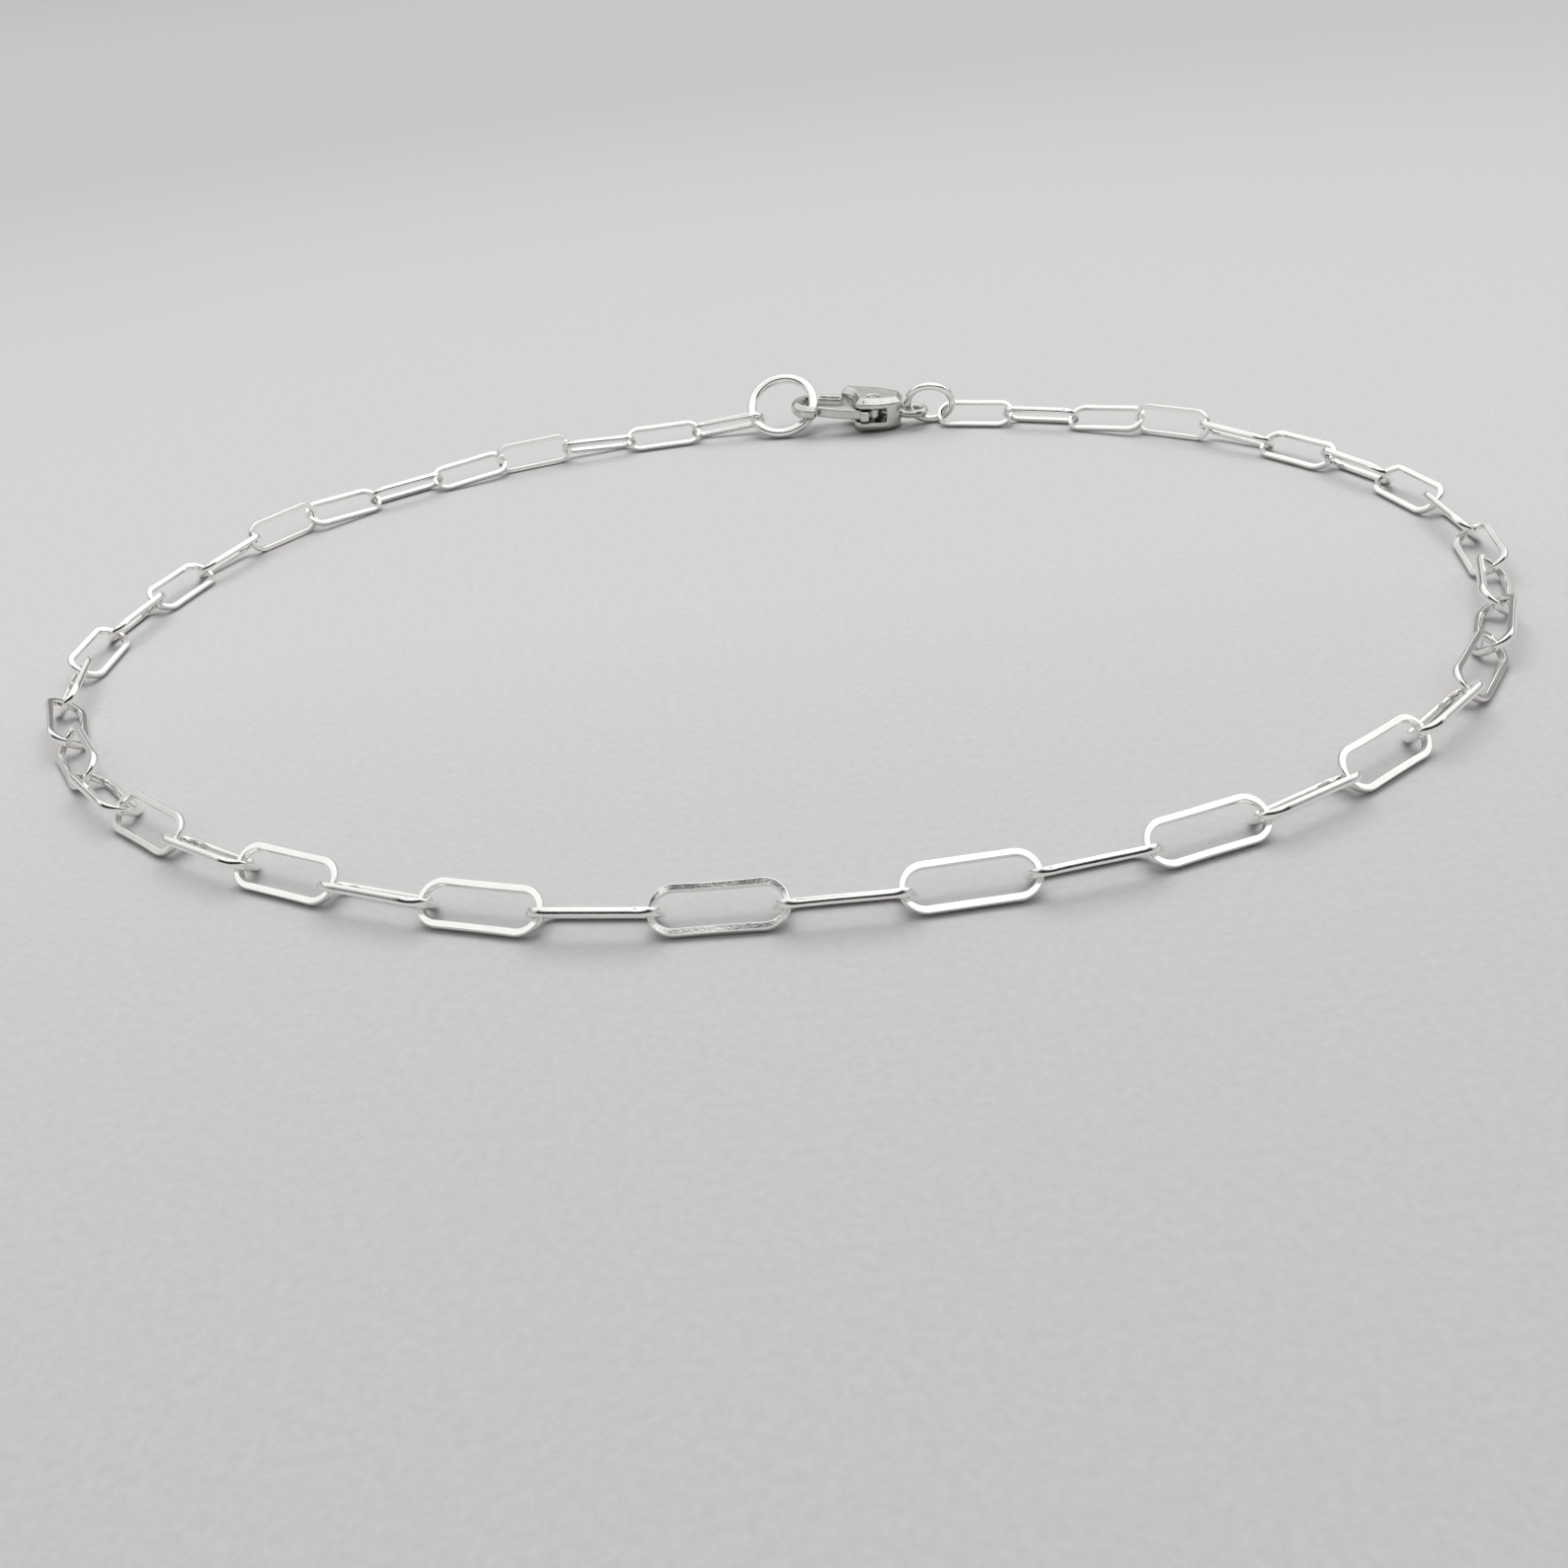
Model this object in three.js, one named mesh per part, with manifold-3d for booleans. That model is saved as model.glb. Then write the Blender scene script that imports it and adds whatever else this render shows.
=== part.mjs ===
// Chain anklet: a closed loop of flat paperclip links with a lobster clasp, lying on a level surface.
// Millimetres, +Z up. The origin is the middle of the loop's outer box, on the surface that it lies on.
// +X runs along the loop's long way and +Y points to the side with the clasp.

import * as THREE from 'three';
import { mergeVertices } from 'three/addons/utils/BufferGeometryUtils.js';
import Module from 'manifold-3d';

const wasm = await Module();
wasm.setup();

// Links: flattened wire bent to a long narrow loop
const LINK_COUNT = 43;
const LINK_LENGTH = 6.2;
const LINK_WIDTH = 2.36;
const LINK_WIRE = 0.34;
const LINK_THICKNESS = 0.4;
const LINK_FLAT_SHARE = 0.76; // share of the wire's width that is flat on each face
const LINK_SIDES = 14;
const PLAY = 0.17; // gap where two linked pieces bear on each other
const LINK_PITCH = LINK_LENGTH - 2 * LINK_WIRE - PLAY;

// Loop: the oval that the chain lies in, before it is scaled to close on the clasp
const LOOP_HALF_LENGTH = 42.4;
const LOOP_HALF_WIDTH = 35.2;
const LOOP_TURN = -10.2; // degrees
const LEAST_SCALE = 0.9;
const MOST_SCALE = 1.1;
const START_BEARING = 96.5; // degrees round the oval to the joint between the end ring and the first link

// How far the chain lies outside the oval, by bearing in degrees
const WANDER = [
  { bearing: 100, out: -0.3 },
  { bearing: 150, out: 0.4 },
  { bearing: 175, out: -0.2 },
  { bearing: 198, out: 0.5 },
  { bearing: 222, out: 0.1 },
  { bearing: 250, out: -0.2 },
  { bearing: 264, out: 0.2 },
  { bearing: 279, out: -0.3 },
  { bearing: 305, out: 0.6 },
  { bearing: 330, out: 0.2 },
  { bearing: 348, out: -0.4 },
  { bearing: 375, out: 0.3 },
  { bearing: 405, out: 0.4 },
  { bearing: 460, out: -0.3 },
];

// Lean of a link: the angle of its width from the outward level, in degrees.
// Links lean by turns inward and outward.
const LEAN_INWARD = 138;
const LEAN_OUTWARD = 37;
const LEAN_VARIATION = 3;

// Links that lie in another way where the chain rolls over. Rise is the climb along the link, in degrees.
const TURNED_LINKS = [
  { link: 1, lean: 140, rise: -5 },
  { link: 3, lean: 146, rise: 3.2 },
  { link: 4, lean: 88, rise: 0 },
  { link: 5, lean: 34, rise: -3.2 },
  { link: 6, lean: 140, rise: 0 },
  { link: 7, lean: 34, rise: 3.2 },
  { link: 8, lean: 88, rise: 0 },
  { link: 9, lean: 146, rise: -3.2 },
  { link: 39, lean: 146, rise: 3.2 },
  { link: 40, lean: 88, rise: 0 },
  { link: 41, lean: 34, rise: -3.2 },
  { link: 42, lean: 140, rise: 0 },
  { link: 43, lean: 40, rise: 0 },
];

// Rings at the two ends of the chain, on the line that closes the loop. Lean is a ring's slope in degrees.
// Middle and out place its centre along and beside the line, and reach is the length of line that it takes up.
const RING_SIDES = 16;
const RING_WIRE_SIDES = 6;
const END_RING = { outer: 6, wire: 0.8, lean: 41, out: 0.52, middle: 1.87, reach: 3.6 };
const JUMP_RING = { outer: 4.2, wire: 0.6, lean: 118, out: -0.15, middle: 0.89, reach: 1.87 };

// Clasp, in its own frame: nose to -X, tail to +X, solid arm to +Y, lever to -Y, +Z out of its upper side.
// Nose and tipEnd are the angles, in degrees, at which the hook and the lever's round tip end.
const HOOK = { centreX: -3.4, rootX: 0.4, inner: 1.35, outer: 2.25, nose: 258, thickness: 1.1, bevel: 0.3 };
const BODY = { thickness: 2.6, bevel: 0.4 };
const TAIL = { centreX: 4.1, inner: 0.75, outer: 1.45 };
const PIVOT = { x: 1.1, y: -0.75, rivet: 0.36, rivetInset: 0.05, bore: 0.42, sides: 12 };
const LEVER = { thickness: 0.8, bevel: 0.1, boss: 0.7, tipX: -4.25, tipY: -0.4, tipRadius: 0.25, tipEnd: 252 };
const SLOT = { front: -1.6, back: 2.3, top: 0.45, depth: 4, height: 1.1 };
const CLASP_OUT = 0.35; // how far the clasp's middle lies outside the line between its two joints
const CLASP_RISE = 5.1; // degrees, nose up, because the nose hangs in the end ring
const CURVE_SEGMENTS = 12;

// Outline of the clasp's body, from its arm round the throat, the chin, the belly and the tail to its back.
// A point with a pull is reached in a curve that bends towards the pull, and any other in a straight line.
const BODY_OUTLINE = [
  { x: -1.7, y: HOOK.outer },
  { x: -1.7, y: HOOK.inner },
  { x: -0.6, y: -0.3, pull: { x: -0.9, y: 0.8 } },
  { x: -0.2, y: -1.85 },
  { x: 0.3, y: -2.15 },
  { x: 3.35, y: -0.85, pull: { x: 2.6, y: -2 } },
  { x: 3.35, y: 0.85 },
  { x: -1.7, y: HOOK.outer, pull: { x: 2.2, y: 2.4 } },
];

// Sides of the lever about its pivot: the upper one out to the tip, and the lower one back over the thumb tab
const LEVER_UPPER_SIDE = [{ x: LEVER.tipX, y: LEVER.tipY + LEVER.tipRadius, pull: { x: -2.3, y: 0 } }];
const LEVER_LOWER_SIDE = [
  { x: -0.9, y: -1.05, pull: { x: -2.6, y: -1.2 } },
  { x: -0.85, y: -1.6 },
  { x: -0.15, y: -1.6, pull: { x: -0.5, y: -1.85 } },
  { x: 0, y: -LEVER.boss },
];

const radians = THREE.MathUtils.degToRad;
const UP = new THREE.Vector3(0, 0, 1);

function silver() {
  return new THREE.MeshStandardMaterial({ color: 0xdcdddf, roughness: 0.16, metalness: 1 });
}

function namedMesh(name, geometry) {
  const mesh = new THREE.Mesh(geometry, silver());
  mesh.name = name;
  return mesh;
}

// Joining and cutting closed meshes

function toSolid(geometry) {
  const bare = new THREE.BufferGeometry();
  bare.setAttribute('position', geometry.getAttribute('position'));
  bare.setIndex(geometry.getIndex());
  const merged = mergeVertices(bare);
  return new wasm.Manifold(new wasm.Mesh({
    numProp: 3,
    vertProperties: new Float32Array(merged.getAttribute('position').array),
    triVerts: new Uint32Array(merged.getIndex().array),
  }));
}

function toGeometry(solid) {
  const mesh = solid.getMesh();
  const geometry = new THREE.BufferGeometry();
  geometry.setAttribute('position', new THREE.BufferAttribute(mesh.vertProperties, 3));
  geometry.setIndex(new THREE.BufferAttribute(mesh.triVerts, 1));
  geometry.computeVertexNormals();
  return geometry;
}

// A plate of the given outline, centred on the clasp's middle plane, with its edges bevelled inward
function plate(shape, thickness, bevel) {
  const geometry = new THREE.ExtrudeGeometry(shape, {
    depth: thickness - 2 * bevel,
    bevelEnabled: bevel > 0,
    bevelThickness: bevel,
    bevelSize: bevel,
    bevelOffset: -bevel,
    bevelSegments: 1,
    curveSegments: CURVE_SEGMENTS,
  });
  return geometry.translate(0, 0, bevel - thickness / 2);
}

function pin(radius, length) {
  return new THREE.CylinderGeometry(radius, radius, length, PIVOT.sides).rotateX(Math.PI / 2);
}

// Goes on from a shape's last point along the given points
function trace(shape, points) {
  for (const { x, y, pull } of points) {
    if (pull) shape.quadraticCurveTo(pull.x, pull.y, x, y);
    else shape.lineTo(x, y);
  }
}

// Link, centred on the origin: length along X, width along Y, thickness along Z

function linkGeometry() {
  const half = LINK_WIRE / 2;
  const flat = half * LINK_FLAT_SHARE;
  const face = LINK_THICKNESS / 2;
  const section = [
    { out: half, up: 0 },
    { out: flat, up: face },
    { out: -flat, up: face },
    { out: -half, up: 0 },
    { out: -flat, up: -face },
    { out: flat, up: -face },
    { out: half, up: 0 },
  ];
  const bend = LINK_WIDTH / 2 - half;
  const profile = section.map(({ out, up }) => new THREE.Vector2(bend + out, up));
  const geometry = new THREE.LatheGeometry(profile, LINK_SIDES);
  // The round ring is pulled apart into two bends, and widened by what its flat sides lose
  const pull = (LINK_LENGTH - LINK_WIDTH) / 2;
  const widen = 1 / Math.cos(Math.PI / LINK_SIDES);
  const position = geometry.getAttribute('position');
  for (let i = 0; i < position.count; i++) {
    position.setX(i, position.getX(i) * widen);
    position.setZ(i, position.getZ(i) + Math.sign(position.getZ(i)) * pull);
  }
  return geometry.rotateY(Math.PI / 2).rotateX(Math.PI / 2);
}

function ringGeometry({ outer, wire }) {
  return new THREE.TorusGeometry((outer - wire) / 2, wire / 2, RING_WIRE_SIDES, RING_SIDES);
}

// Turns a mesh to the given along and width directions and stands its lowest point on the surface at a place
function lay(mesh, place, along, width) {
  const basis = new THREE.Matrix4().makeBasis(along, width, along.clone().cross(width));
  mesh.quaternion.setFromRotationMatrix(basis);
  mesh.position.set(place.x, place.y, 0);
  const lowest = new THREE.Box3().setFromObject(mesh, true).min.z;
  mesh.position.z = -lowest;
  return mesh;
}

// Loop

function wanderAt(bearing) {
  const turn = 360;
  const first = WANDER[0].bearing;
  const around = first + ((((bearing - first) % turn) + turn) % turn);
  const next = WANDER.findIndex((row) => row.bearing > around);
  const from = WANDER[next - 1];
  const to = WANDER[next];
  return THREE.MathUtils.lerp(from.out, to.out, (around - from.bearing) / (to.bearing - from.bearing));
}

function loopPoint(bearing, scale) {
  const angle = radians(bearing);
  const oval = new THREE.Vector2(LOOP_HALF_LENGTH * Math.cos(angle), LOOP_HALF_WIDTH * Math.sin(angle));
  oval.setLength(oval.length() * scale + wanderAt(bearing));
  return oval.rotateAround(new THREE.Vector2(), radians(LOOP_TURN));
}

// Halves the span between low and high until error changes sign there
function bisect(low, high, error) {
  const steps = 40;
  for (let i = 0; i < steps; i++) {
    const middle = (low + high) / 2;
    if (error(middle) < 0) low = middle;
    else high = middle;
  }
  return (low + high) / 2;
}

// The joints of the chain, one link's pitch apart, from the end ring round to the clasp's jump ring
function walkLoop(scale) {
  let bearing = START_BEARING;
  const joints = [loopPoint(bearing, scale)];
  const farthestStep = 20; // degrees, more than any link spans
  for (let i = 0; i < LINK_COUNT; i++) {
    const here = joints[i];
    const short = (next) => loopPoint(next, scale).distanceTo(here) - LINK_PITCH;
    bearing = bisect(bearing, bearing + farthestStep, short);
    joints.push(loopPoint(bearing, scale));
  }
  return joints;
}

const noseInner = HOOK.centreX - HOOK.inner;
const tailInner = TAIL.centreX + TAIL.inner;
const claspReach = tailInner - noseInner - PLAY;
const fasteningSpan = END_RING.reach + claspReach + JUMP_RING.reach;

const gapAtScale = (scale) => {
  const joints = walkLoop(scale);
  return joints[LINK_COUNT].distanceTo(joints[0]) - fasteningSpan;
};
const loopScale = bisect(LEAST_SCALE, MOST_SCALE, gapAtScale);
const joints = walkLoop(loopScale);

const anklet = new THREE.Group();

// Chain

const linkShape = linkGeometry();

for (let i = 0; i < LINK_COUNT; i++) {
  const number = i + 1;
  const from = joints[i];
  const to = joints[i + 1];
  const heading = to.clone().sub(from).normalize();
  const turned = TURNED_LINKS.find((row) => row.link === number);
  const usual = number % 2 === 1 ? LEAN_INWARD : LEAN_OUTWARD;
  const lean = radians(turned ? turned.lean : usual + LEAN_VARIATION * Math.sin(number * number));
  const rise = radians(turned ? turned.rise : 0);
  const level = new THREE.Vector3(heading.x, heading.y, 0);
  const outward = new THREE.Vector3(heading.y, -heading.x, 0);
  const along = level.clone().multiplyScalar(Math.cos(rise)).addScaledVector(UP, Math.sin(rise));
  const upward = outward.clone().cross(along);
  const width = outward.clone().multiplyScalar(Math.cos(lean)).addScaledVector(upward, Math.sin(lean));
  const link = namedMesh(`link_${String(number).padStart(2, '0')}`, linkShape.clone());
  const middle = from.clone().add(to).multiplyScalar(0.5);
  anklet.add(lay(link, middle, along, width));
}

// Fastening: end ring, clasp and jump ring along the straight line that closes the loop

const fastening = new THREE.Group();
const closing = joints[LINK_COUNT].clone().sub(joints[0]);
fastening.position.set(joints[0].x, joints[0].y, 0);
fastening.rotation.z = closing.angle();
anklet.add(fastening);

// A ring whose inner side bears on a joint at the given place along the fastening
function layRing(name, ring, start) {
  const mesh = namedMesh(name, ringGeometry(ring));
  const lean = radians(ring.lean);
  const slope = new THREE.Vector3(0, Math.cos(lean), Math.sin(lean));
  const middle = new THREE.Vector2(start + ring.middle, ring.out);
  fastening.add(lay(mesh, middle, new THREE.Vector3(1, 0, 0), slope));
}

layRing('end_ring', END_RING, 0);
layRing('clasp_jump_ring', JUMP_RING, END_RING.reach + claspReach);

// Clasp body: hook, forked body and tail eye, cast in one

function hookShape() {
  const { centreX, inner, outer, rootX } = HOOK;
  const noseAngle = radians(HOOK.nose);
  const middle = (inner + outer) / 2;
  const tipX = centreX + middle * Math.cos(noseAngle);
  const tipY = middle * Math.sin(noseAngle);
  const shape = new THREE.Shape();
  shape.moveTo(rootX, outer);
  shape.lineTo(centreX, outer);
  shape.absarc(centreX, 0, outer, Math.PI / 2, noseAngle, false);
  shape.absarc(tipX, tipY, (outer - inner) / 2, noseAngle, noseAngle + Math.PI, false);
  shape.absarc(centreX, 0, inner, noseAngle, Math.PI / 2, true);
  shape.lineTo(rootX, inner);
  return shape;
}

function bodyShape() {
  const shape = new THREE.Shape();
  const [start, ...rest] = BODY_OUTLINE;
  shape.moveTo(start.x, start.y);
  trace(shape, rest);
  return shape;
}

function tailGeometry() {
  const ring = { outer: 2 * TAIL.outer, wire: TAIL.outer - TAIL.inner };
  return ringGeometry(ring).translate(TAIL.centreX, 0, 0);
}

function slotGeometry() {
  const slot = new THREE.BoxGeometry(SLOT.back - SLOT.front, SLOT.depth, SLOT.height);
  return slot.translate((SLOT.back + SLOT.front) / 2, SLOT.top - SLOT.depth / 2, 0);
}

function claspBodyGeometry() {
  const bore = pin(PIVOT.bore, 2 * BODY.thickness).translate(PIVOT.x, PIVOT.y, 0);
  const body = toSolid(plate(bodyShape(), BODY.thickness, BODY.bevel))
    .subtract(toSolid(slotGeometry()))
    .subtract(toSolid(bore))
    .add(toSolid(plate(hookShape(), HOOK.thickness, HOOK.bevel)))
    .add(toSolid(tailGeometry()));
  return toGeometry(body);
}

// Clasp lever, with its pivot at the origin of its own mesh

function leverShape() {
  const { boss, tipX, tipY, tipRadius } = LEVER;
  const shape = new THREE.Shape();
  shape.moveTo(0, boss);
  trace(shape, LEVER_UPPER_SIDE);
  shape.absarc(tipX, tipY, tipRadius, Math.PI / 2, radians(LEVER.tipEnd), false);
  trace(shape, LEVER_LOWER_SIDE);
  shape.absarc(0, 0, boss, -Math.PI / 2, Math.PI / 2, false);
  return shape;
}

function leverGeometry() {
  const lever = toSolid(plate(leverShape(), LEVER.thickness, LEVER.bevel));
  return toGeometry(lever.subtract(toSolid(pin(PIVOT.bore, 2 * LEVER.thickness))));
}

const clasp = new THREE.Group();
const claspBody = namedMesh('clasp_body', claspBodyGeometry());
const claspLever = namedMesh('clasp_lever', leverGeometry());
const claspRivet = namedMesh('clasp_rivet', pin(PIVOT.rivet, BODY.thickness - 2 * PIVOT.rivetInset));
claspLever.position.set(PIVOT.x, PIVOT.y, 0);
claspRivet.position.set(PIVOT.x, PIVOT.y, 0);
clasp.add(claspBody, claspLever, claspRivet);
clasp.rotation.y = radians(CLASP_RISE);
clasp.position.set(END_RING.reach - PLAY / 2 - noseInner * Math.cos(radians(CLASP_RISE)), CLASP_OUT, 0);
clasp.position.z = -new THREE.Box3().setFromObject(clasp, true).min.z;
fastening.add(clasp);

// The middle of the outer box's bottom is the origin

const box = new THREE.Box3().setFromObject(anklet, true);
const centre = box.getCenter(new THREE.Vector3());
anklet.position.set(-centre.x, -centre.y, -box.min.z);

export default anklet;
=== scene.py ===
"""Chain anklet on a pale floor.

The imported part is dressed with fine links, rings and a clasp of polished silver.
"""

import math
import random

import bmesh
import bpy
import numpy as np
from mathutils import Matrix, Vector


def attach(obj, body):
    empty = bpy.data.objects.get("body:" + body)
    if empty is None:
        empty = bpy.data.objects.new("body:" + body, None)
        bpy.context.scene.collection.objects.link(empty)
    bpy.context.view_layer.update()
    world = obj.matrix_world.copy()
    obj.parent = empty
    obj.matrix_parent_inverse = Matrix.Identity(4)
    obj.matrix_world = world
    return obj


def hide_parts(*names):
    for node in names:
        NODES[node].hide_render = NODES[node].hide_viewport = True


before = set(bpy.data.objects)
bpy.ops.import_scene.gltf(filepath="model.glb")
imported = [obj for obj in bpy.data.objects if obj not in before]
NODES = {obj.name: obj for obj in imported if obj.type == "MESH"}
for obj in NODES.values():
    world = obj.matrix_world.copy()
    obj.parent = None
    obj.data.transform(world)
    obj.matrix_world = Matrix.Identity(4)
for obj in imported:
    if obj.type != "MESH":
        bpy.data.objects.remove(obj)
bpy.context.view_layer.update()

MM = 0.001
CHAIN_BODY = "anklet"
LEVER_BODY = "lever"

# Link wire in millimetres: rolled flat on two faces, round at the sides, a little thinner where it is bent
LIMB_WIDTH = 0.40
BEND_WIDTH = 0.345
WIRE_THICKNESS = 0.40
WIRE_BULGE = 0.075
SIDE_STEPS = 14
FACE_STEPS = (0.9, 0.4, -0.4, -0.9)
BEND_STEPS = 26
LIMB_STEPS = 12
BEND_EASE = 1.5

# Unevenness of a link: its most bow in millimetres, and how far each wave moves one measure of the wire
MOST_BOW = 0.02
WAVE_COUNT = 6
WAVE_TIMES = (2, 3, 5, 7)
WAVE_DEPTH = (0.4, 1)
WIDTH_WAVE = 0.012
THICKNESS_WAVE = 0.01
BULGE_WAVE = 0.15
TWIST_WAVE = 0.012
HEIGHT_WAVE = 0.006

# Rings: the solid's wire has six sides, so its height is less than the round wire's by this corner's sine.
# The fit shrinks a round ring to lie between the corners and the flats of its solid.
RING_STEPS = 96
RING_WIRE_STEPS = 28
RING_FIT = 0.985
RING_WIRE_CORNER = math.radians(60)

# Castings, worked in millimetres: the voxel that a solid is remade with, and the rounds of smoothing after it
CASTINGS = (
    {"node": "clasp_body", "body": CHAIN_BODY, "voxel": 0.07, "smoothing": 8},
    {"node": "clasp_rivet", "body": CHAIN_BODY, "voxel": 0.04, "smoothing": 6},
    {"node": "clasp_lever", "body": LEVER_BODY, "voxel": 0.045, "smoothing": 6},
)
SMOOTH_FACTOR = 0.5
SAME_POINT = 0.0005

# Camera, in millimetres and degrees, read from the joints of the chain in the photograph
CAMERA_PLACE = (-0.05, -89.39, 36.96)
CAMERA_DOWN = 29.49
CAMERA_ROLL = 6.79
CAMERA_FOCAL_PIXELS = 1551
IMAGE_PIXELS = 1588
SENSOR_MM = 36
CAMERA_NEAR = 0.002  # metres


# Meshes


def mesh_object(name, points, faces):
    mesh = bpy.data.meshes.new(name)
    mesh.from_pydata([tuple(p) for p in points], [], faces)
    mesh.update()
    mesh.polygons.foreach_set("use_smooth", [True] * len(mesh.polygons))
    piece = bpy.data.objects.new(name, mesh)
    bpy.context.scene.collection.objects.link(piece)
    return piece


def closed_tube(rings):
    """Points and faces of a tube whose last ring joins its first."""
    count, sides = rings.shape[:2]
    faces = []
    for i in range(count):
        j = (i + 1) % count
        for k in range(sides):
            m = (k + 1) % sides
            faces.append((i * sides + k, j * sides + k, j * sides + m, i * sides + m))
    return rings.reshape(-1, 3), faces


def node_points(name):
    return np.array([v.co for v in NODES[name].data.vertices], float) / MM


def main_axes(points):
    """Middle of the points, their directions of most, second and least spread, and their size along each."""
    centre = (points.max(0) + points.min(0)) / 2
    _, directions = np.linalg.eigh(np.cov((points - points.mean(0)).T))
    along, width = directions[:, 2], directions[:, 1]
    if along[np.argmax(abs(along))] < 0:
        along = -along
    up = np.cross(along, width)
    if up[2] < 0:
        width, up = -width, -up
    turned = (points - centre) @ np.stack([along, width, up], 1)
    offset = (turned.max(0) + turned.min(0)) / 2
    centre = centre + np.stack([along, width, up], 1) @ offset
    return centre, along, width, up, turned.max(0) - turned.min(0)


def lay(piece, centre, along, width, up):
    """Tilts a piece in its mesh and turns it about the vertical, so that its box has its true height.

    It is lifted by the hair's breadth that its finer shape may reach under the floor.
    """
    turn = Matrix([(along[i], width[i], up[i]) for i in range(3)]).to_4x4()
    heading = Matrix.Rotation(math.atan2(along[1], along[0]), 4, "Z")
    piece.data.transform(heading.inverted() @ turn)
    lowest = min(v.co.z for v in piece.data.vertices)
    height = max(centre[2] * MM, -lowest)
    piece.matrix_world = Matrix.Translation((centre[0] * MM, centre[1] * MM, height)) @ heading


def wire_section(half_width, half_thickness, bulge):
    """Section of the flattened wire: two flat faces, and sides that bulge out between them."""
    flat = half_width - bulge
    points = []
    for side in (1, -1):
        for step in range(SIDE_STEPS + 1):
            angle = (step / SIDE_STEPS - 0.5) * math.pi
            out = flat + bulge * math.cos(angle)
            points.append((side * out, side * half_thickness * math.sin(angle)))
        for share in FACE_STEPS:
            points.append((side * flat * share, side * half_thickness))
    return np.array(points)


def draw_wave(chance):
    """Start, number of times round the link, and depth of one wave."""
    return chance.uniform(0, 2 * math.pi), chance.choice(WAVE_TIMES), chance.uniform(*WAVE_DEPTH)


def link_rings(length, width, chance):
    """Rings of points round a link's wire, in metres, for a link's length and width in millimetres."""
    half_length, half_width = length / 2, width / 2
    straight = half_length - half_width
    stations = []
    for side in (0, 1):
        start = -math.pi / 2 + side * math.pi
        for step in range(BEND_STEPS):
            stations.append((side, "bend", start + math.pi * step / BEND_STEPS))
        for step in range(LIMB_STEPS):
            stations.append((side, "limb", step / LIMB_STEPS))
    waves = [draw_wave(chance) for _ in range(WAVE_COUNT)]
    bow = chance.uniform(-MOST_BOW, MOST_BOW)
    rings = []
    for index, (side, kind, value) in enumerate(stations):
        sign = 1 - 2 * side
        if kind == "bend":
            out = np.array([math.cos(value), math.sin(value)])
            middle = np.array([sign * straight, 0])
            bent = abs(math.cos(value))
            along_limb = 1.0
        else:
            out = np.array([0, sign])
            along_limb = 2 * value - 1
            middle = np.array([sign * straight * (1 - 2 * value), 0])
            bent = 0
        turn = 2 * math.pi * index / len(stations)
        wave = [depth * math.sin(times * turn + start) for start, times, depth in waves]
        wide = LIMB_WIDTH + (BEND_WIDTH - LIMB_WIDTH) * bent ** BEND_EASE
        wide *= 1 + WIDTH_WAVE * wave[0]
        thick = WIRE_THICKNESS * (1 + THICKNESS_WAVE * wave[1])
        bulge = WIRE_BULGE * (1 + BULGE_WAVE * wave[2])
        twist = TWIST_WAVE * (wave[3] + wave[4])
        section = wire_section(wide / 2, thick / 2, bulge)
        cos, sin = math.cos(twist), math.sin(twist)
        across = section[:, 0] * cos - section[:, 1] * sin
        rise = section[:, 0] * sin + section[:, 1] * cos
        reach = half_width - wide / 2 - abs(bow) * (1 - along_limb ** 2)
        plan = middle + np.outer(reach + across, out)
        rings.append(np.column_stack([plan, rise + HEIGHT_WAVE * wave[5]]))
    return np.array(rings) * MM


def make_link(name, seed):
    centre, along, width, up, size = main_axes(node_points(name))
    rings = link_rings(size[0], size[1], random.Random(seed))
    piece = mesh_object(name + "_wire", *closed_tube(rings))
    lay(piece, centre, along, width, up)
    return piece


def make_ring(name):
    centre, along, width, up, size = main_axes(node_points(name))
    wire = size[2] / 2 / math.sin(RING_WIRE_CORNER)
    radius = (size[0] / 2 - wire) * RING_FIT
    wire *= RING_FIT
    axis = np.array([0, 0, 1])
    spots = [2 * math.pi * k / RING_WIRE_STEPS for k in range(RING_WIRE_STEPS)]
    rings = []
    for i in range(RING_STEPS):
        turn = 2 * math.pi * i / RING_STEPS
        out = np.array([math.cos(turn), math.sin(turn), 0])
        rings.append([out * (radius + wire * math.cos(a)) + axis * wire * math.sin(a) for a in spots])
    piece = mesh_object(name + "_round", *closed_tube(np.array(rings) * MM))
    lay(piece, centre, along, width, up)
    return piece


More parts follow.
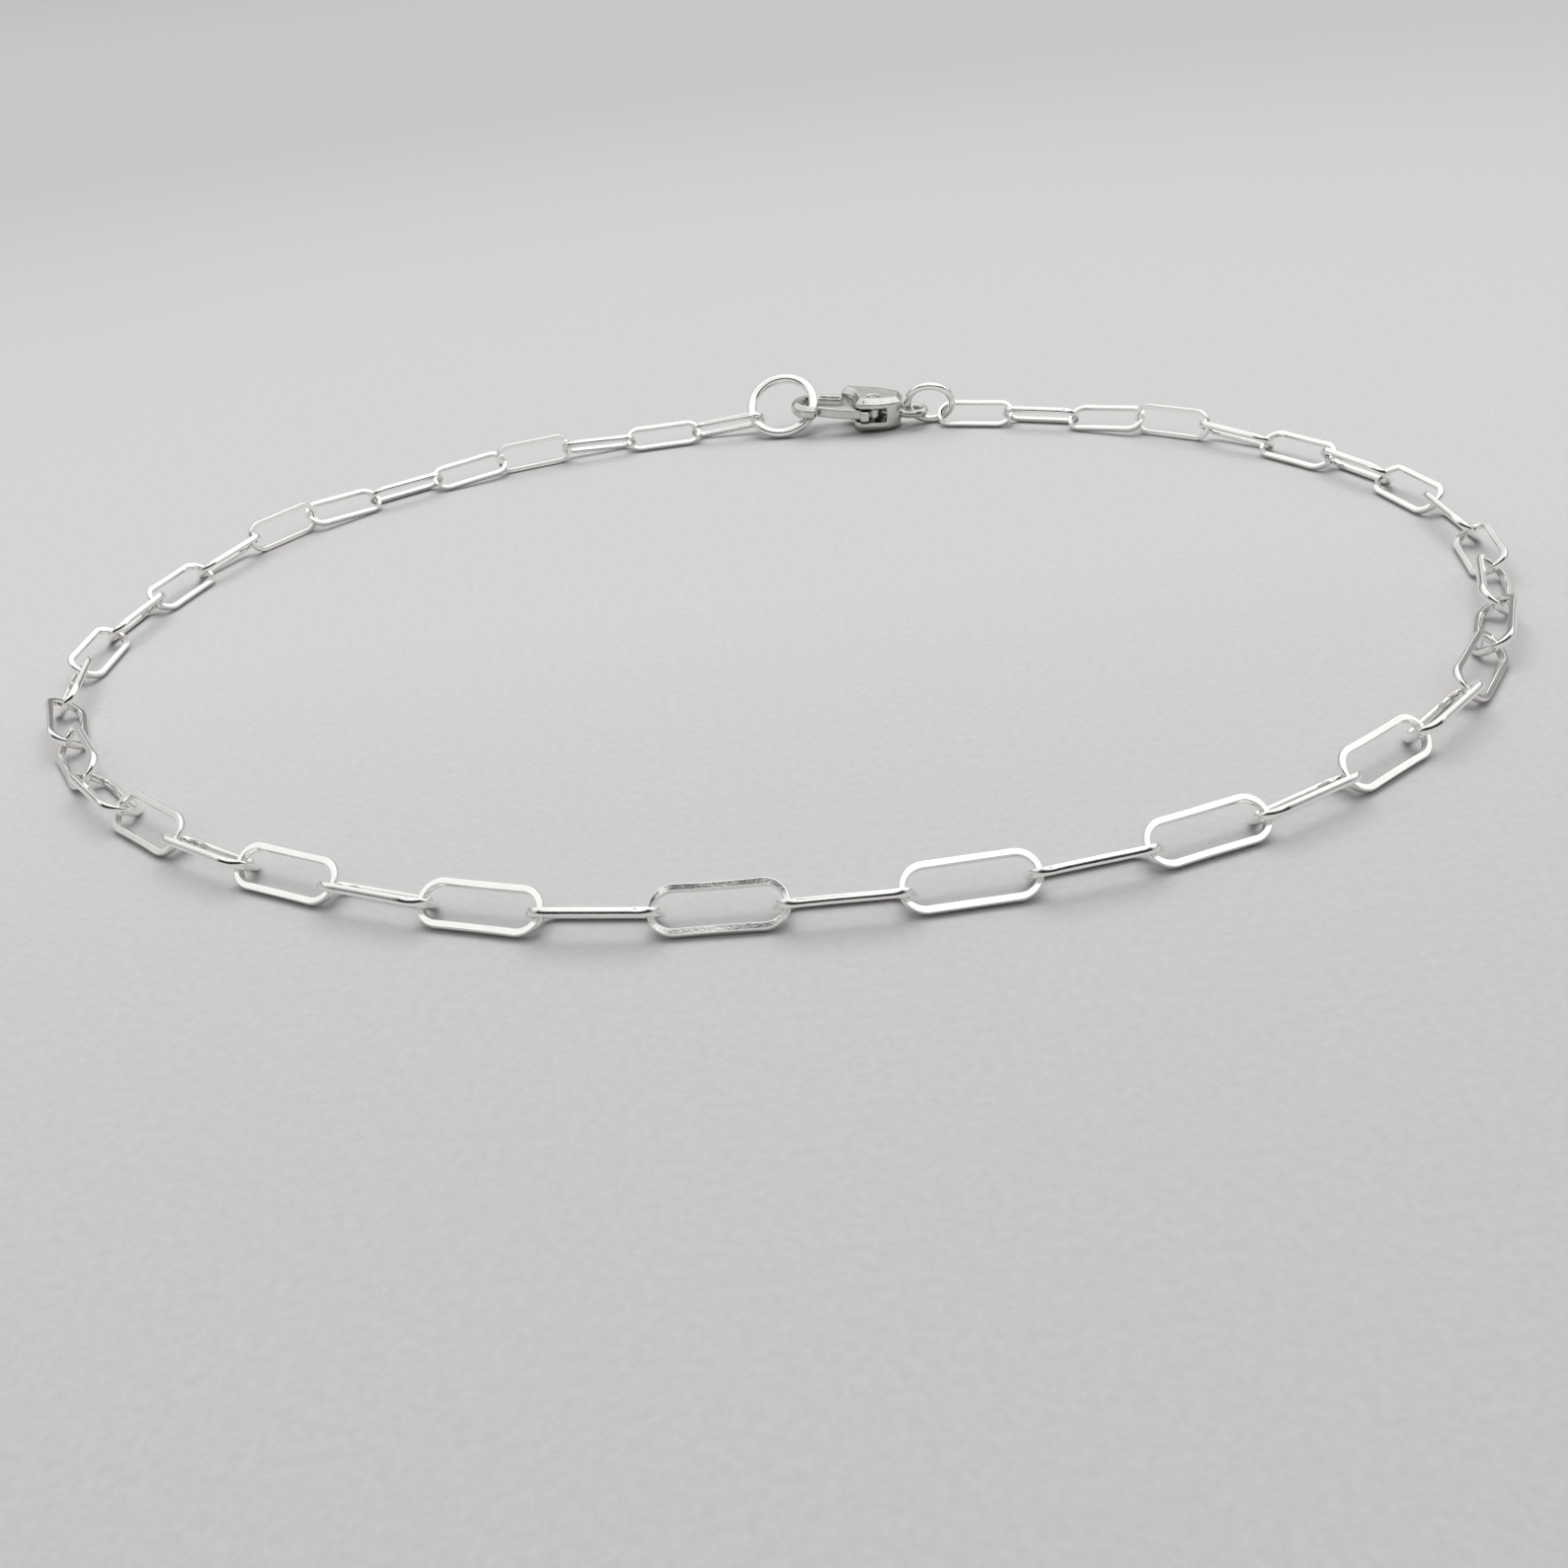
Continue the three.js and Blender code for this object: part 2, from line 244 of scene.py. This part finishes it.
def make_casting(name, voxel, smoothing):
    """A casting with tumbled edges, from the node's own solid.

    It is worked in millimetres and shrunk at the end.
    """
    mesh = NODES[name].data.copy()
    mesh.transform(Matrix.Scale(1 / MM, 4))
    work = bmesh.new()
    work.from_mesh(mesh)
    bmesh.ops.remove_doubles(work, verts=work.verts, dist=SAME_POINT)
    bmesh.ops.recalc_face_normals(work, faces=work.faces)
    work.to_mesh(mesh)
    work.free()
    rough = bpy.data.objects.new(name + "_rough", mesh)
    bpy.context.scene.collection.objects.link(rough)
    remesh = rough.modifiers.new("remesh", "REMESH")
    remesh.mode = "VOXEL"
    remesh.voxel_size = voxel
    smooth = rough.modifiers.new("smooth", "SMOOTH")
    smooth.factor = SMOOTH_FACTOR
    smooth.iterations = smoothing
    evaluated = rough.evaluated_get(bpy.context.evaluated_depsgraph_get())
    shape = bpy.data.meshes.new_from_object(evaluated)
    bpy.data.objects.remove(rough)
    shape.transform(Matrix.Scale(MM, 4))
    shape.materials.clear()
    shape.polygons.foreach_set("use_smooth", [True] * len(shape.polygons))
    shape.name = name + "_cast"
    piece = bpy.data.objects.new(name + "_cast", shape)
    bpy.context.scene.collection.objects.link(piece)
    return piece


# Materials


def add_node(tree, kind, **inputs):
    node = tree.nodes.new(kind)
    for key, value in inputs.items():
        node.inputs[key.replace("_", " ")].default_value = value
    return node


def noise(tree, vector, scale, detail=4.0, roughness=0.55):
    node = add_node(tree, "ShaderNodeTexNoise", Scale=scale, Detail=detail, Roughness=roughness)
    tree.links.new(vector, node.inputs["Vector"])
    return node.outputs["Fac"]


def spread(tree, value, low, high, start=0.3, end=0.7):
    node = add_node(tree, "ShaderNodeMapRange", From_Min=start, From_Max=end, To_Min=low, To_Max=high)
    tree.links.new(value, node.inputs["Value"])
    return node.outputs["Result"]


def between(tree, factor, first, second):
    """Mixes two colours, or the colours from two sockets."""
    node = tree.nodes.new("ShaderNodeMix")
    node.data_type = "RGBA"
    for name, colour in (("A", first), ("B", second)):
        socket = next(s for s in node.inputs if s.name == name and s.type == "RGBA")
        if isinstance(colour, tuple):
            socket.default_value = (*colour, 1)
        else:
            tree.links.new(colour, socket)
    tree.links.new(factor, node.inputs[0])
    return next(s for s in node.outputs if s.type == "RGBA")


def math_node(tree, operation, first, second):
    node = tree.nodes.new("ShaderNodeMath")
    node.operation = operation
    for socket, value in zip(node.inputs, (first, second)):
        tree.links.new(value, socket)
    return node.outputs["Value"]


def distance(tree, vector, point):
    node = tree.nodes.new("ShaderNodeVectorMath")
    node.operation = "DISTANCE"
    node.inputs[1].default_value = point
    tree.links.new(vector, node.inputs[0])
    return node.outputs["Value"]


def new_material(name):
    material = bpy.data.materials.new(name)
    material.use_nodes = True
    tree = material.node_tree
    shader = next(n for n in tree.nodes if n.type == "BSDF_PRINCIPLED")
    place = tree.nodes.new("ShaderNodeTexCoord").outputs["Object"]
    return material, tree, shader, place


# Silver: how many features its noises have in a metre, and how deep its marks are in metres.
# The haze's span is the stretch of its noise over which the metal goes from smooth to rough.
TARNISH_SCALE = 700
HAZE_SCALE = 7000
HAZE_SPAN = (0.35, 0.7)
SCRATCH_SCALE = (900, 12000, 12000)
SCRATCH_DEPTH = 0.000003
DENT_SCALE = 9000
DENT_DEPTH = 0.000009


def silver(name, bright, dull, smooth, rough, marks):
    """Polished silver with faint tarnish, hazy specks, fine scratches along the piece and soft dents."""
    material, tree, shader, place = new_material(name)
    shader.inputs["Metallic"].default_value = 1.0
    tarnish = noise(tree, place, TARNISH_SCALE)
    tree.links.new(between(tree, spread(tree, tarnish, 0, 1), dull, bright), shader.inputs["Base Color"])
    haze = noise(tree, place, HAZE_SCALE, detail=3, roughness=0.6)
    tree.links.new(spread(tree, haze, smooth, rough, *HAZE_SPAN), shader.inputs["Roughness"])
    stretch = add_node(tree, "ShaderNodeMapping", Scale=SCRATCH_SCALE)
    tree.links.new(place, stretch.inputs["Vector"])
    scratches = noise(tree, stretch.outputs["Vector"], 1, detail=3)
    first = add_node(tree, "ShaderNodeBump", Strength=marks, Distance=SCRATCH_DEPTH)
    tree.links.new(scratches, first.inputs["Height"])
    dents = noise(tree, place, DENT_SCALE, detail=3)
    second = add_node(tree, "ShaderNodeBump", Strength=marks, Distance=DENT_DEPTH)
    tree.links.new(dents, second.inputs["Height"])
    tree.links.new(first.outputs["Normal"], second.inputs["Normal"])
    tree.links.new(second.outputs["Normal"], shader.inputs["Normal"])
    return material


# Floor's card: its darkest and lightest tones, pale at the back, and darker at the front as painted shade.
# The spans are in metres: across the front, and out to where the floor is of one far tone, a painted shade
# that dims it away from the chain.
# The far share is how near to pale that tone is.
PALE_TONES = ((0.402, 0.395, 0.394), (0.448, 0.441, 0.44))
# Darker tones of the card, used only as painted shade
PAINTED_SHADE_TONES = ((0.315, 0.309, 0.309), (0.35, 0.344, 0.344))
FRONT_SHADE_SPAN = (-0.08, 0.0)
FAR_SHADE_SPAN = (0.06, 0.36)
FAR_SHARE = 0.35
CARD_ROUGHNESS = 0.85
CARD_SHINE = 0.25
MOTTLE_SCALE = 2400
TOOTH_SCALE = 1900
TOOTH_STRENGTH = 0.35
TOOTH_DEPTH = 0.00005


def paper(name):
    """Matt pale card with a fine tooth; painted shade makes it a little darker towards the front and of one
    dimmer tone far away.
    """
    material, tree, shader, place = new_material(name)
    shader.inputs["Roughness"].default_value = CARD_ROUGHNESS
    shader.inputs["Specular IOR Level"].default_value = CARD_SHINE
    mottle = spread(tree, noise(tree, place, MOTTLE_SCALE, detail=6, roughness=0.7), 0, 1)
    pale = between(tree, mottle, *PALE_TONES)
    shaded_card = between(tree, mottle, *PAINTED_SHADE_TONES)
    parts = tree.nodes.new("ShaderNodeSeparateXYZ")
    tree.links.new(place, parts.inputs["Vector"])
    # Painted shade: the card is mixed towards its darker tones in front and away from the chain
    near = spread(tree, parts.outputs["Y"], 0, 1, *FRONT_SHADE_SPAN)
    start, end = FAR_SHADE_SPAN
    far_shade = add_node(tree, "ShaderNodeMapRange", From_Min=start, From_Max=end, To_Max=FAR_SHARE)
    far_shade.interpolation_type = "SMOOTHSTEP"
    tree.links.new(distance(tree, place, (0, 0, 0)), far_shade.inputs["Value"])
    tree.links.new(near, far_shade.inputs["To Min"])
    tree.links.new(between(tree, far_shade.outputs["Result"], shaded_card, pale), shader.inputs["Base Color"])
    grain = noise(tree, place, TOOTH_SCALE, detail=5, roughness=0.6)
    bump = add_node(tree, "ShaderNodeBump", Strength=TOOTH_STRENGTH, Distance=TOOTH_DEPTH)
    tree.links.new(grain, bump.inputs["Height"])
    tree.links.new(bump.outputs["Normal"], shader.inputs["Normal"])
    return material


chain_silver = silver(
    "chain_silver",
    bright=(0.965, 0.96, 0.945),
    dull=(0.90, 0.90, 0.88),
    smooth=0.06,
    rough=0.17,
    marks=0.25,
)
# The clasp's silver is much darker than the chain's: painted shade, standing in for its shaded sides and the
# shadowed floor they mirror
clasp_silver = silver(
    "clasp_silver",
    bright=(0.72, 0.72, 0.69),
    dull=(0.55, 0.555, 0.525),
    smooth=0.11,
    rough=0.24,
    marks=0.35,
)


def dress(piece, node, body, material):
    piece.data.materials.append(material)
    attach(piece, body)
    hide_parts(node)


# Chain, rings and clasp

links = sorted(name for name in NODES if name.startswith("link_"))
for number, name in enumerate(links):
    dress(make_link(name, number), name, CHAIN_BODY, chain_silver)

for name in ("end_ring", "clasp_jump_ring"):
    dress(make_ring(name), name, CHAIN_BODY, chain_silver)

for casting in CASTINGS:
    piece = make_casting(casting["node"], casting["voxel"], casting["smoothing"])
    dress(piece, casting["node"], casting["body"], clasp_silver)


# Floor, light and camera

# Radius and height of the floor's rings in metres. Far away it sweeps up, to hide the horizon.
FLOOR_RINGS = (
    (0.5, 0.0),
    (2.0, 0.0),
    (2.5, 0.03),
    (3.0, 0.12),
    (3.4, 0.28),
    (3.7, 0.5),
    (3.9, 0.75),
    (4.0, 1.0),
)
FLOOR_SIDES = 72


def make_floor():
    turns = [2 * math.pi * i / FLOOR_SIDES for i in range(FLOOR_SIDES)]
    points = []
    for radius, height in FLOOR_RINGS:
        points += [(radius * math.cos(t), radius * math.sin(t), height) for t in turns]
    faces = [tuple(range(FLOOR_SIDES))]
    for ring in range(len(FLOOR_RINGS) - 1):
        for i in range(FLOOR_SIDES):
            j = (i + 1) % FLOOR_SIDES
            inner, outer = ring * FLOOR_SIDES, (ring + 1) * FLOOR_SIDES
            faces.append((inner + i, outer + i, outer + j, inner + j))
    return mesh_object("floor", points, faces)


floor = make_floor()
# The floor's card carries painted shade, darker in front and far away
floor.data.materials.append(paper("floor_paper_painted_shade"))


def soft_sun(name, toward, strength, angle):
    """A wide, distant light for the floor, as bright far away as near. The silver mirrors the room alone."""
    light = bpy.data.lights.new(name, "SUN")
    light.energy = strength
    light.angle = math.radians(angle)
    lamp = bpy.data.objects.new(name, light)
    lamp.rotation_euler = Vector(toward).to_track_quat("-Z", "Y").to_euler()
    lamp.visible_glossy = False
    bpy.context.scene.collection.objects.link(lamp)


# The angle is how wide the light is, in degrees
soft_sun("light_main", toward=(0, -0.5, -0.866), strength=2.45, angle=52)

# Room, by the height, depth and side of a direction: the span of each change, and the light at its two ends
ROOM_COLOUR = (1.0, 0.995, 0.99, 1)
ROOM_HEIGHT = {"low": 0.16, "high": 1.25, "start": 0.0, "end": 0.55}
FRONT_TOP = {"low": 0.02, "high": 1.0, "start": 0.56, "end": 0.72}
FRONT_SIDE = {"low": 0.03, "high": 1.0, "start": -0.45, "end": -0.1}
DARK_SPOT = (-0.119, -0.294, 0.948)
DARK_SPOT_EDGE = {"low": 0.1, "high": 1.0, "start": 0.085, "end": 0.14}
LEFT_SIDE = {"low": 0.8, "high": 1.0, "start": -0.6, "end": 0.2}


def studio_world():
    """A soft white room that is dark towards the front, where the camera stands."""
    world = bpy.data.worlds.new("studio")
    bpy.context.scene.world = world
    world.use_nodes = True
    tree = world.node_tree
    background = next(n for n in tree.nodes if n.type == "BACKGROUND")
    direction = tree.nodes.new("ShaderNodeTexCoord").outputs["Generated"]
    parts = tree.nodes.new("ShaderNodeSeparateXYZ")
    tree.links.new(direction, parts.inputs["Vector"])
    height = spread(tree, parts.outputs["Z"], **ROOM_HEIGHT)
    # Dark low in front, a small dark spot high in front, and dimmer to the left
    above = spread(tree, parts.outputs["Z"], **FRONT_TOP)
    aside = spread(tree, parts.outputs["Y"], **FRONT_SIDE)
    low_front = math_node(tree, "MAXIMUM", above, aside)
    high_front = spread(tree, distance(tree, direction, DARK_SPOT), **DARK_SPOT_EDGE)
    left = spread(tree, parts.outputs["X"], **LEFT_SIDE)
    lit = math_node(tree, "MULTIPLY", math_node(tree, "MULTIPLY", low_front, high_front), left)
    tree.links.new(math_node(tree, "MULTIPLY", height, lit), background.inputs["Strength"])
    background.inputs["Color"].default_value = ROOM_COLOUR


studio_world()

camera_data = bpy.data.cameras.new("camera")
camera_data.sensor_width = SENSOR_MM
camera_data.lens = SENSOR_MM * CAMERA_FOCAL_PIXELS / IMAGE_PIXELS
camera_data.clip_start = CAMERA_NEAR
camera = bpy.data.objects.new("camera", camera_data)
down = Matrix.Rotation(math.radians(90 - CAMERA_DOWN), 4, "X")
roll = Matrix.Rotation(math.radians(-CAMERA_ROLL), 4, "Z")
camera.matrix_world = Matrix.Translation(Vector(CAMERA_PLACE) * MM) @ down @ roll
bpy.context.scene.collection.objects.link(camera)
bpy.context.scene.camera = camera
bpy.context.scene.view_settings.view_transform = "Standard"
